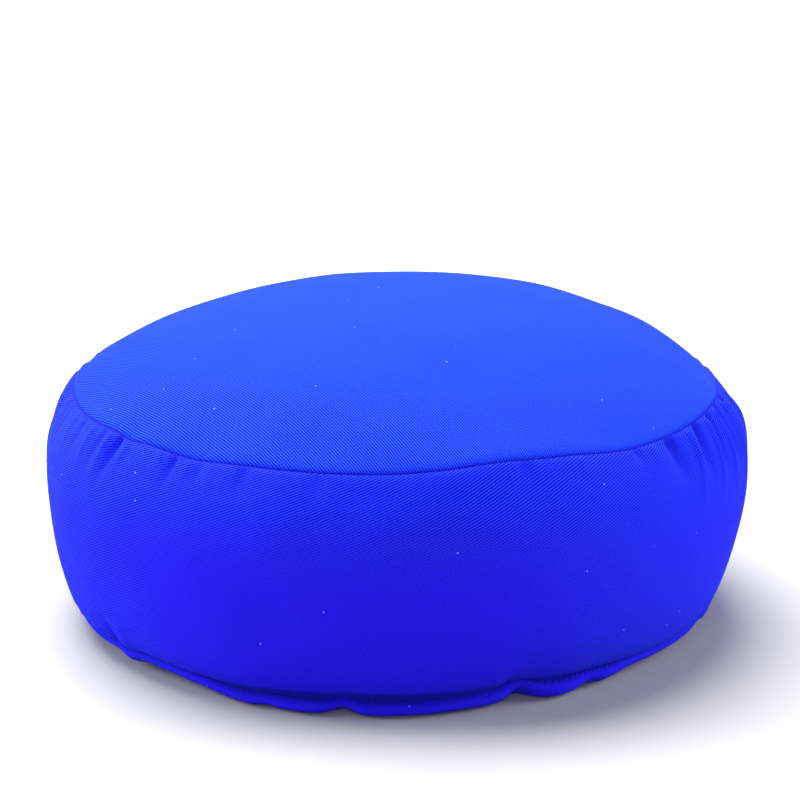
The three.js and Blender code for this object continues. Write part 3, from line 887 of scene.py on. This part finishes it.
# At the zip the cloth ends beside the chain, not at the seam.
def besideZip(place, angle, kind):
    away = zipForm["halfSlot"] * zipShare(angle)
    if kind == "band":
        share = (place - topSeam) / (bottomSeam - topSeam)
        return place - away * smoothStep(share, 0.6, 1.0)
    share = (place - bottomSeam) / (coverForm["end"] - bottomSeam)
    return place + away * (1 - smoothStep(share, 0.0, 0.3))


# the painted shade of the seams, their tucks and the fold valleys
creaseShade = {
    "tucks": [(21.5, 5), (-8.9, 2), (-53, 5), (38, 5)],  # degrees from the front, width
    "top": 0.75,
    "topSpread": 0.75 * mm,
    "bottom": 0.62,
    "bottomSpread": 1.4,  # mm
    "tuckSpread": 1.2,  # mm
    "above": 1.6,  # times the spread, above the seam and under it
    "under": 0.25,
    "fold": 0.5,
    "foldDepth": 2.8 * mm,
}


# Painted shade down in the seams and folds, from 0 to 1. The bottom seam's shade is wider
# at its tucks.
def creaseShadeAt(place, angle):
    degrees = fromFront(angle)
    tuck = sum(
        np.exp(-(((degrees - at + 180) % 360 - 180) / width) ** 2)
        for at, width in creaseShade["tucks"]
    )
    atTop = creaseShade["top"] * np.exp(-((place - topSeam) / creaseShade["topSpread"]) ** 2)
    reach = (creaseShade["bottomSpread"] + creaseShade["tuckSpread"] * tuck) * mm
    above = np.where(place < bottomSeam, creaseShade["above"], creaseShade["under"])
    atBottom = creaseShade["bottom"] * np.exp(-((place - bottomSeam) / (reach * above)) ** 2)
    atBottom = atBottom * (1 - zipShare(angle))
    onBand = (place >= topSeam) & (place <= bottomSeam)
    fold = np.where(onBand, foldHeight(folds, place - topSeam, degrees), 0)
    inFold = creaseShade["fold"] * np.clip(-fold / creaseShade["foldDepth"], 0, 1)
    return np.clip(np.maximum(atTop, atBottom) + inFold, 0, 1)


# The piece's UV map in metres: flat is where each point lies in the cut cloth.
def layWeave(data, flat, grain):
    weave = data.uv_layers.new(name="weave")
    cosine, sine = math.cos(grain), math.sin(grain)
    turned = np.column_stack([
        flat[:, 0] * cosine + flat[:, 1] * sine,
        -flat[:, 0] * sine + flat[:, 1] * cosine,
    ])
    corners = np.empty(len(data.loops), int)
    data.loops.foreach_get("vertex_index", corners)
    weave.data.foreach_set("uv", turned[corners].ravel())


def flatCloth(form, kind, place, hem, angle):
    if kind == "band":
        side = np.where(place < 0.5 * (form["topSeam"] + form["bottomSeam"]), -hem, hem)
        return np.column_stack([angle * form["wideRadius"], -(place + side)])
    radius = (place if kind == "top" else form["end"] - place) + hem
    return np.column_stack([radius * np.cos(angle), radius * np.sin(angle)])


def giveThickness(piece, thickness):
    solidify = piece.modifiers.new("thickness", "SOLIDIFY")
    solidify.thickness = thickness
    solidify.offset = -1


# Unit vectors into the cushion, square to the mean of the two cloths at a seam.
def seamInwards(angle, tilt):
    return np.column_stack([
        -math.cos(tilt) * np.cos(angle), -math.cos(tilt) * np.sin(angle),
        np.full(len(angle), -math.sin(tilt)),
    ])


wearAndShade = {
    "crown": 0.5,  # how far sitting has rubbed the ribs flat
    "crownFrom": 0.55,  # as shares of the way to the top seam
    "crownTo": 0.9,
    "low": 0.85,  # and the foot of the band
    "sides": 0.75,  # how much less at the sides
    "valley": 0.8,
    "valleyDepth": 2.2 * mm,
    "lowFrom": 8 * mm,  # below the top seam
    "lowTo": 58 * mm,
    "sidesFrom": 22.0,  # degrees either side of the middle
    "sidesTo": 50.0,
    "sidesMiddle": -8,
    # painted shade: how much the blue deepens and darkens on the band and at its foot, and how much
    # less at the lit sides
    "shadeOnBand": 0.32,
    "shadeAtFoot": 0.62,
    "shadeLessAtSides": 0.3,
}


# How far the ribs are rubbed flat, and how much painted shade deepens the blue on the band, as
# values on the cloth.
def layWearAndShade(data, place, degrees):
    outwards = smoothStep(place, wearAndShade["crownFrom"] * topSeam, wearAndShade["crownTo"] * topSeam)
    rubbedTop = wearAndShade["crown"] * (1 - outwards)
    lowDown = smoothStep(place, topSeam + wearAndShade["lowFrom"], topSeam + wearAndShade["lowTo"])
    fromMiddle = np.abs(degrees - wearAndShade["sidesMiddle"])
    atSides = smoothStep(fromMiddle, wearAndShade["sidesFrom"], wearAndShade["sidesTo"]) * (place < bottomSeam)
    valley = np.where(place > topSeam, foldHeight(folds, place - topSeam, degrees), 0)
    valley = np.clip(-valley / wearAndShade["valleyDepth"], 0, 1)
    rubbed = np.maximum(rubbedTop, lowDown * (wearAndShade["low"] - wearAndShade["sides"] * atSides))
    writeValues(data, "worn", np.maximum(rubbed, wearAndShade["valley"] * valley))
    # painted shade: a deeper, darker blue on the band, most at its foot and least at the sides
    paintedShade = wearAndShade["shadeOnBand"] * (place > topSeam)
    paintedShade = paintedShade + lowDown * (wearAndShade["shadeAtFoot"] - wearAndShade["shadeLessAtSides"] * atSides)
    writeValues(data, "paintedShade", paintedShade)


def layPanel(skin, kind, start=0.0):
    data = skin.data
    place, hem = readValues(data, "place"), readValues(data, "hem")
    angle = anglesOf(readPoints(data), start)
    layWeave(data, flatCloth(coverForm, kind, place, hem, angle), panels[kind + "Grain"])
    laid = place if kind == "top" else besideZip(place, angle, kind)
    points, normals = coverPoint(laid, angle)
    # rubbed ribs, and the painted shade that deepens the band's blue
    layWearAndShade(data, place, fromFront(angle))
    # painted shade down in the seams and folds
    writeValues(data, "crease", creaseShadeAt(laid, angle))
    atTop = place < 0.5 * (topSeam + bottomSeam)
    inwards = np.where(
        atTop[:, None],
        seamInwards(angle, panels["topTilt"]), seamInwards(angle, panels["bottomTilt"]),
    )
    depth = hem * np.where(atTop, 1, 1 - (1 - panels["zipHem"]) * zipShare(angle, 1.0))
    writePoints(data, points + inwards * depth[:, None])
    giveThickness(skin, panels["thickness"])
    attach(skin, "cushion")
    return skin


fine, coarse, hems = panels["fine"], panels["coarse"], panels["hem"]
topSkin = turnedSkin(
    coverForm, gradedPlaces(0, topSeam, False, True, fine, coarse * 1.5), panels["steps"],
    hemAfter=hems,
)
topPanel = layPanel(makeObject("cover_top", topSkin, cloth), "top")
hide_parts("cover_top_panel")
bandSkin = turnedSkin(
    coverForm, gradedPlaces(topSeam, bottomSeam, True, True, fine, coarse), panels["steps"],
    panels["joinAngle"], panels["joinGap"] / coverForm["wideRadius"], hems, hems,
)
sideBand = layPanel(makeObject("cover_band", bandSkin, cloth), "band", panels["joinAngle"])
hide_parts("cover_side_band")
bottomSkin = turnedSkin(
    coverForm,
    gradedPlaces(bottomSeam, coverForm["end"], True, False, fine, coarse * 1.8, 30 * mm),
    panels["steps"], hemBefore=hems,
)
bottomPanel = layPanel(makeObject("cover_bottom", bottomSkin, cloth), "bottom")
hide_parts("cover_bottom_panel")
print("stage: cover panels")


# Threads and the zip.


# Round wires along lines of points, as one mesh.
def wires(name, lines, radius, material, sides=1):
    curve = bpy.data.curves.new(name, "CURVE")
    curve.dimensions = "3D"
    curve.bevel_depth = radius
    curve.bevel_resolution = sides
    curve.use_fill_caps = True
    for line in lines:
        spline = curve.splines.new("POLY")
        spline.points.add(len(line) - 1)
        spline.points.foreach_set("co", np.column_stack([line, np.ones(len(line))]).ravel())
    form = bpy.data.objects.new(name, curve)
    scene.collection.objects.link(form)
    bpy.context.view_layer.update()
    mesh = bpy.data.meshes.new_from_object(form.evaluated_get(bpy.context.evaluated_depsgraph_get()))
    bpy.data.objects.remove(form)
    mesh.name = name
    return makeObject(name, mesh, material)


stitching = {
    "pitch": 3.0 * mm,
    "radius": 0.22 * mm,
    "share": 0.8,  # of the pitch that shows as thread
    "lift": 0.1 * mm,
    "sink": 0.3 * mm,
    "besideZip": math.radians(2.5),  # from the zip's ends to the bottom seam's stitches
    "joinFrom": 4 * mm,  # below the top seam
    "joinShort": 12 * mm,  # how much shorter the join's row is than the band
}


# A row of stitches, each of which rises out of the cloth and sinks into it again. Track
# gives the place and the angle at each distance along the row.
def stitchRow(name, length, track, lift):
    count = int(length / stitching["pitch"])
    shares = np.linspace(-0.5, 0.5, 5)
    middles = (np.arange(count) + 0.5) * length / count
    at = middles[:, None] + shares[None, :] * stitching["pitch"] * stitching["share"]
    place, angle = track(at.ravel())
    points, normals = coverPoint(place, angle)
    rise = lift - stitching["sink"] * np.tile((2 * shares) ** 2, count)
    points = points + normals * rise[:, None]
    piece = wires(name, points.reshape(count, 5, 3), stitching["radius"], threadBlue)
    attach(piece, "cushion")
    return piece


zipStart, zipEnd = zipForm["endAngle"], math.pi - zipForm["endAngle"]
seamRadius = coverForm["topRadius"]
piece = stitchRow(
    "thread_top_seam", turn * seamRadius,
    lambda at: (np.full(len(at), topSeam), at / seamRadius), stitching["lift"],
)
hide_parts("top_seam_thread")
lowRadius = coverForm["bottomRadius"]
seamStart = zipEnd + stitching["besideZip"]
piece = stitchRow(
    "thread_bottom_seam",
    (turn - (zipEnd - zipStart) - 2 * stitching["besideZip"]) * lowRadius,
    lambda at: (np.full(len(at), bottomSeam), seamStart + at / lowRadius),
    stitching["lift"],
)
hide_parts("bottom_seam_thread")
piece = stitchRow(
    "thread_band_join", bottomSeam - topSeam - stitching["joinShort"],
    lambda at: (
        topSeam + stitching["joinFrom"] + at, np.full(len(at), panels["joinAngle"]),
    ),
    0.15 * mm,
)
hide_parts("band_join_thread")
for name, side in (("zip_stitching_upper", -1), ("zip_stitching_lower", 1)):
    piece = stitchRow(
        "row_" + name, (zipEnd - zipStart) * zipForm["radius"],
        lambda at, side=side: (
            np.full(len(at), bottomSeam + side * zipForm["stitchesAway"]),
            zipStart + at / zipForm["radius"],
        ),
        0.2 * mm,
    )
    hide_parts(name)


# Points beside the chain: an angle, then distances across and out.
def zipPoints(angle, across, out):
    radius = zipForm["radius"] + zipForm["across"][0] * across + zipForm["out"][0] * out
    height = zipForm["height"] + zipForm["across"][1] * across + zipForm["out"][1] * out
    return np.column_stack([radius * np.cos(angle), radius * np.sin(angle), height])


coil = {
    "pitch": 1.4 * mm,
    "wire": 0.27 * mm,
    "near": 0.65 * mm,  # the loops' heads, from the middle of the chain
    "far": 3.3 * mm,
    "low": -1.2 * mm,
    "high": 0.8 * mm,
    "pointsPerTurn": 12,
}
chainStart = math.atan2(upperCoilBox[0].y, upperCoilBox[1].x) + math.radians(0.5)
chainEnd = math.pi - chainStart
loops = int((chainEnd - chainStart) * zipForm["radius"] / coil["pitch"])
along = np.linspace(0, 1, loops * coil["pointsPerTurn"])
for side, name in ((1, "zip_coil_upper"), (-1, "zip_coil_lower")):
    phase = turn * loops * along + (0 if side > 0 else math.pi)
    half = (coil["far"] - coil["near"]) / 2 - coil["wire"]
    across = (coil["far"] + coil["near"]) / 2 - half * np.cos(phase)
    tall = (coil["high"] - coil["low"]) / 2 - coil["wire"]
    out = (coil["high"] + coil["low"]) / 2 + tall * np.sin(phase)
    line = zipPoints(chainStart + (chainEnd - chainStart) * along, side * across, out)
    piece = wires("coil_" + name, [line], coil["wire"], nylonBlue)
    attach(piece, "cushion")
    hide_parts(name)
print("stage: threads and zip chain")


# A CAD node's shape with its edges rounded, for pressed and cast metal.
def roundedCopy(node, width, material):
    mesh = bmesh.new()
    mesh.from_mesh(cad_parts[node].data)
    bmesh.ops.remove_doubles(mesh, verts=mesh.verts, dist=0.002 * mm)
    bmesh.ops.dissolve_limit(mesh, angle_limit=0.01, verts=mesh.verts, edges=mesh.edges)
    sharp = [e for e in mesh.edges if e.is_manifold and e.calc_face_angle() > 0.5]
    bmesh.ops.bevel(
        mesh, geom=sharp, offset=width, segments=2, profile=0.5, affect="EDGES",
        clamp_overlap=True, material=-1,
    )
    bmesh.ops.triangulate(mesh, faces=[f for f in mesh.faces if len(f.verts) > 4])
    return makeObject("nickel_" + node, mesh, material, smooth=False)


metal = {
    "zip_slider": ("zip_slider", 0.16 * mm),
    "zip_pull": ("zip_pull", 0.2 * mm),
    "zip_top_stop_upper": ("cushion", 0.12 * mm),
    "zip_top_stop_lower": ("cushion", 0.12 * mm),
    "zip_bottom_stop": ("cushion", 0.12 * mm),
}
for node, (body, width) in metal.items():
    piece = roundedCopy(node, width, nickel)
    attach(piece, body)
    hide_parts(node)


def finishNode(node, material):
    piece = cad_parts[node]
    piece.data.materials.clear()
    piece.data.materials.append(material)


for node in ("zip_tape_upper", "zip_tape_lower"):
    finishNode(node, tapeBlue)

# The care label, a strip of satin that hangs between the band and the inner bag.
label = {
    "angle": math.radians(15),
    "aboveSeam": 15 * mm,
    "width": 30 * mm,
    "height": 45 * mm,
    "thickness": 0.25 * mm,
    "depth": 1.15 * mm,  # from the band's outer face
    "curl": 0.1 * mm,
}
labelMesh = bmesh.new()
bmesh.ops.create_grid(labelMesh, x_segments=30, y_segments=45, size=0.5)
careLabel = makeObject("satin_care_label", labelMesh, satin)
flat = readPoints(careLabel.data)
angle = label["angle"] + flat[:, 0] * label["width"] / coverForm["wideRadius"]
place = bottomSeam - label["aboveSeam"] - (0.5 - flat[:, 1]) * label["height"]
points, normals = coverPoint(place, angle)
depth = label["depth"] + label["curl"] * np.sin(9 * flat[:, 0] + 4 * flat[:, 1])
writePoints(careLabel.data, points - normals * depth[:, None])
giveThickness(careLabel, label["thickness"])
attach(careLabel, "cushion")
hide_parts("care_label")
print("stage: zip metal, tapes and label")


# The inner bag and its filling.


bag = {
    "steps": 360,
    "fine": 1.2 * mm,
    "coarse": 4 * mm,
    "thickness": 0.5 * mm,
    "follow": 0.6,  # how much of the cover's dips the bag follows
    "crinkle": 0.9 * mm,
    "crinkles": 46,  # round the bag
    "topReach": 9 * mm,
    "bottomReach": 8 * mm,
    "seamDip": 1.0 * mm,
    "seamReach": 1.2 * mm,
    "stitches": 280,  # in each of its two seams
}


def bagPoint(form, place, angle):
    points = formPoint(form, place, angle)
    share = np.interp(
        place, [0, form["topSeam"], form["bottomSeam"], form["end"]],
        [0, topSeam, bottomSeam, coverForm["end"]],
    )
    out, around, rise = settledMove(share, angle).T
    out = np.minimum(out, 0) * bag["follow"]
    crease = np.sin(bag["crinkles"] * angle + 2.5 * np.sin(5 * angle)) * 0.5 - 0.5
    for seam, reach in (
        (form["topSeam"], bag["topReach"]), (form["bottomSeam"], bag["bottomReach"]),
    ):
        away = np.abs(place - seam)
        crinkle = crease * bag["crinkle"] * np.exp(-away / reach)
        out = out + crinkle - bag["seamDip"] * np.exp(-away / bag["seamReach"])
    points[:, 0] += out * np.cos(angle)
    points[:, 1] += out * np.sin(angle)
    return points


bagRanges = {
    "inner_bag_top": ("top", 0, bagForm["topSeam"], False, True),
    "inner_bag_band": ("band", bagForm["topSeam"], bagForm["bottomSeam"], True, True),
    "inner_bag_bottom": ("bottom", bagForm["bottomSeam"], bagForm["end"], True, False),
}
for node, (kind, low, high, fineStart, fineEnd) in bagRanges.items():
    places = gradedPlaces(low, high, fineStart, fineEnd, bag["fine"], bag["coarse"])
    piece = makeObject("calico_" + node, turnedSkin(bagForm, places, bag["steps"]), calico)
    place = readValues(piece.data, "place")
    angle = anglesOf(readPoints(piece.data))
    nothing = np.zeros(len(place))
    layWeave(piece.data, flatCloth(bagForm, kind, place, nothing, angle), 0.0)
    writePoints(piece.data, bagPoint(bagForm, place, angle))
    giveThickness(piece, bag["thickness"])
    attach(piece, "cushion")
    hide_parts(node)

calicoThread = mottled("calico thread", "#d8cdb4", "#efe8d6", 0.5 * mm, 0.05 * mm, Roughness=0.7)
for node, seam in (
    ("inner_bag_top_seam_thread", bagForm["topSeam"]),
    ("inner_bag_bottom_seam_thread", bagForm["bottomSeam"]),
):
    around = np.linspace(0, turn, bag["stitches"], endpoint=False)
    lines = []
    for first in around:
        angle = first + np.linspace(0, stitching["share"], 5) * turn / len(around)
        line = bagPoint(bagForm, np.full(5, seam), angle)
        arch = stitching["lift"] - stitching["sink"] * np.linspace(-1, 1, 5) ** 2
        lines.append(line + unit(line * [1, 1, 0]) * arch[:, None])
    piece = wires("row_" + node, lines, stitching["radius"], calicoThread)
    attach(piece, "cushion")
    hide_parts(node)

filling = {
    "steps": 380,
    "spacing": 2.6 * mm,
    "hulls": 9000,  # the ones that touch the bag
    "hull": 6 * mm,
    "bump": 1.3 * mm,
    "sink": 0.5 * mm,
}
places = gradedPlaces(
    0, fillingForm["end"], False, False, filling["spacing"], filling["spacing"],
)
piece = makeObject("hulls", turnedSkin(fillingForm, places, filling["steps"]), hulls)
place = readValues(piece.data, "place")
angle = anglesOf(readPoints(piece.data))
bare = formPoint(fillingForm, place, angle)
centres = bare[random.choice(len(bare), filling["hulls"], replace=False)]
tree = KDTree(len(centres))
for index, centre in enumerate(centres):
    tree.insert(centre, index)
tree.balance()
away = np.array([tree.find(point)[2] for point in bare])
middle = np.array([0, 0, fillingForm["wideHeight"]])
dome = np.sqrt(np.maximum(1 - (2 * away / filling["hull"]) ** 2, 0))
bumps = filling["bump"] * dome - filling["sink"]
writePoints(piece.data, bare + unit(bare - middle) * bumps[:, None])
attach(piece, "cushion")
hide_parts("hull_filling")
print("stage: inner bag and filling")
